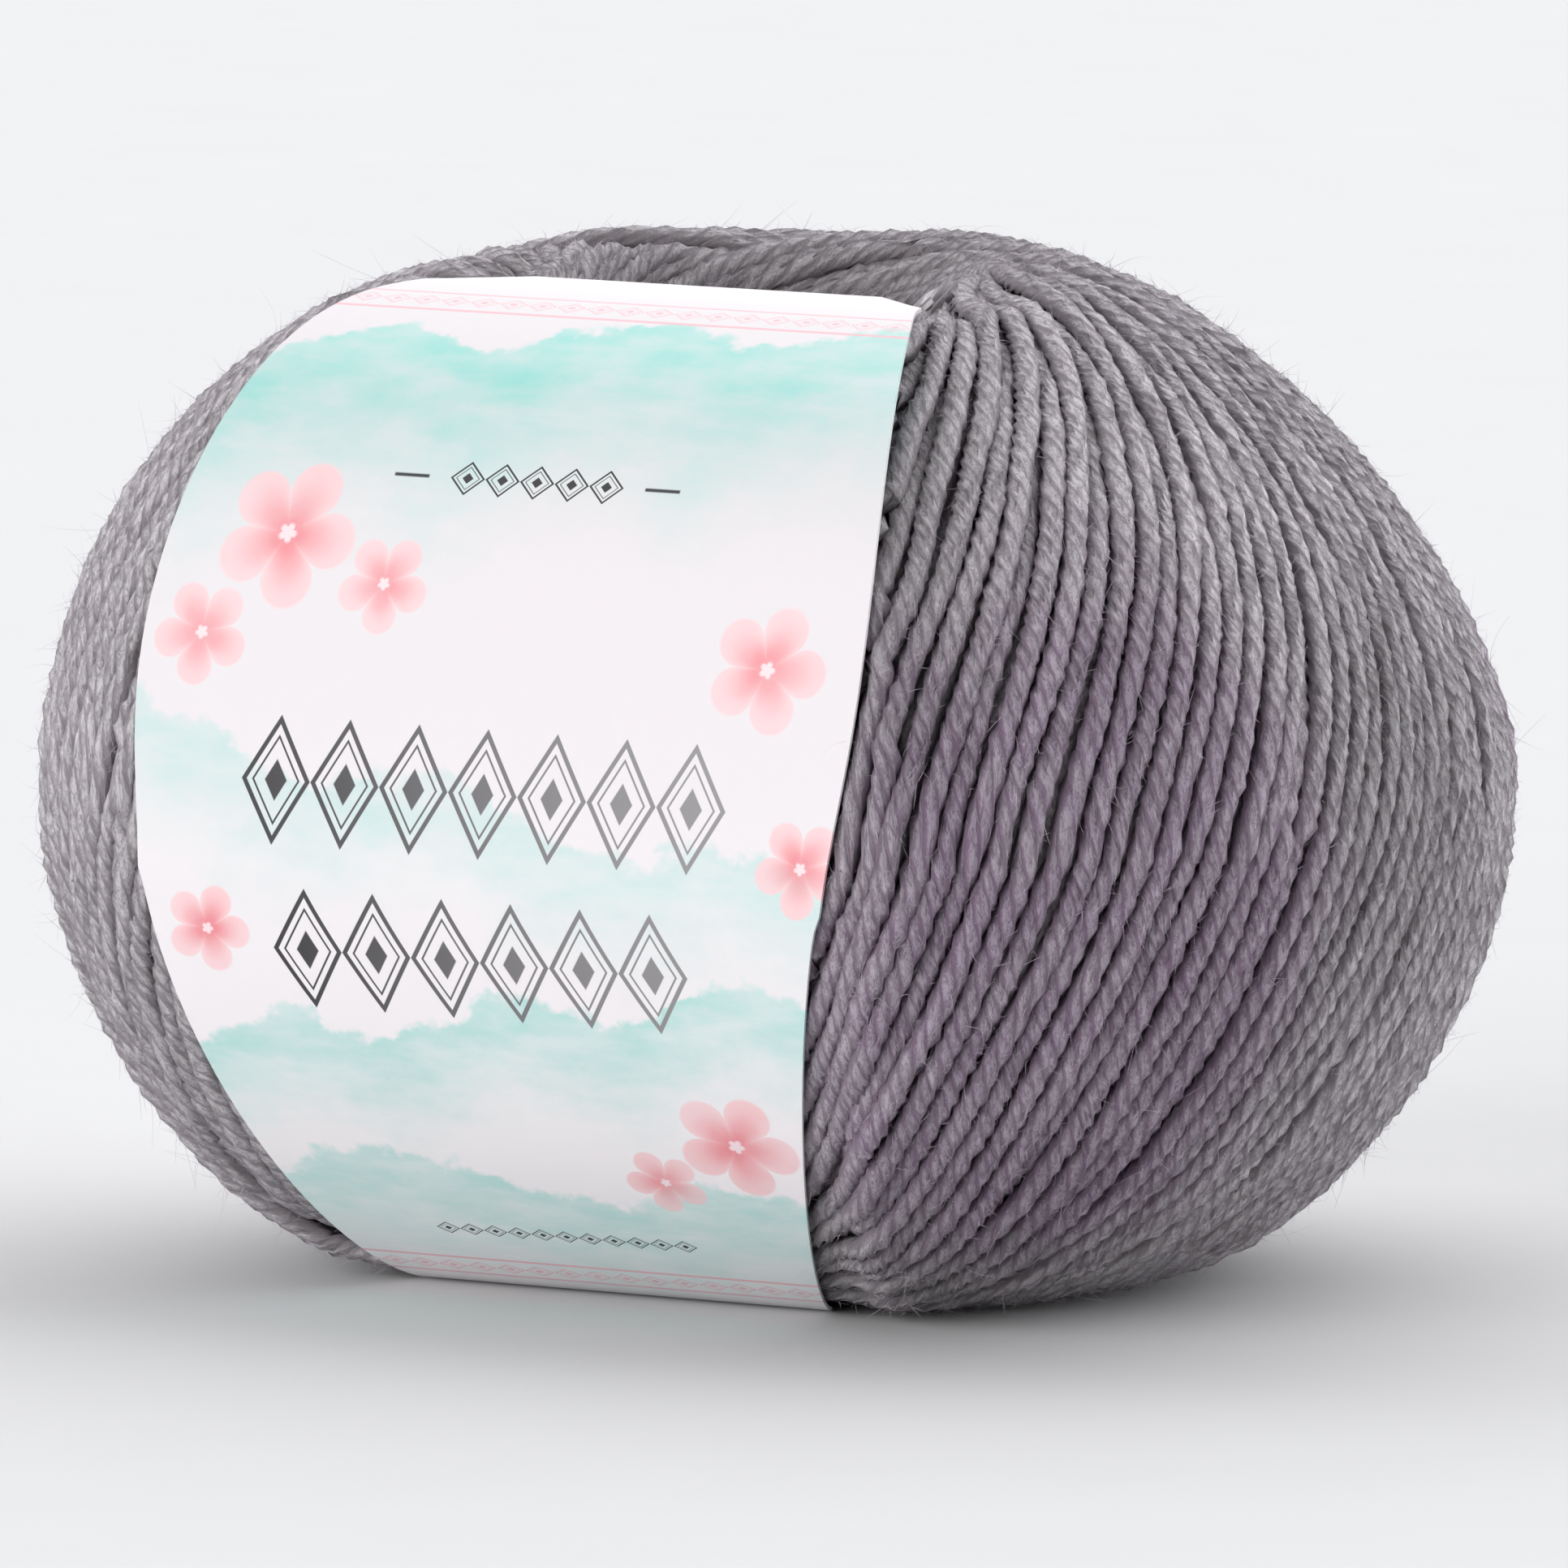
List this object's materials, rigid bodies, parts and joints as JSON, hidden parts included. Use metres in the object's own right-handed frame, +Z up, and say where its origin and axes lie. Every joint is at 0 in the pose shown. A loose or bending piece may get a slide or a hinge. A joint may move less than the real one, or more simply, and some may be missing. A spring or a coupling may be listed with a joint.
{
  "type": "ball of yarn",
  "caption": "Ball of plied wool yarn wound round an open centre hole, standing upright, with a paper band, printed with plain ornament, down its front, under it and up through the hole.",
  "frame": {"origin": "on the surface it stands on, under the middle of the ball's bounding box", "axes": "+Z up along the winding axis, -Y towards the paper band on the front, +X to the right seen from the front"},
  "size_m": [0.1, 0.091, 0.0692],
  "materials": {
    "yarn": "soft fuzzy plied wool, grey mauve",
    "paper": "smooth satin printed paper"
  },
  "bodies": {
    "root": {"yarn_ball": "yarn", "paper_band": "paper"}
  },
  "joints": []
}
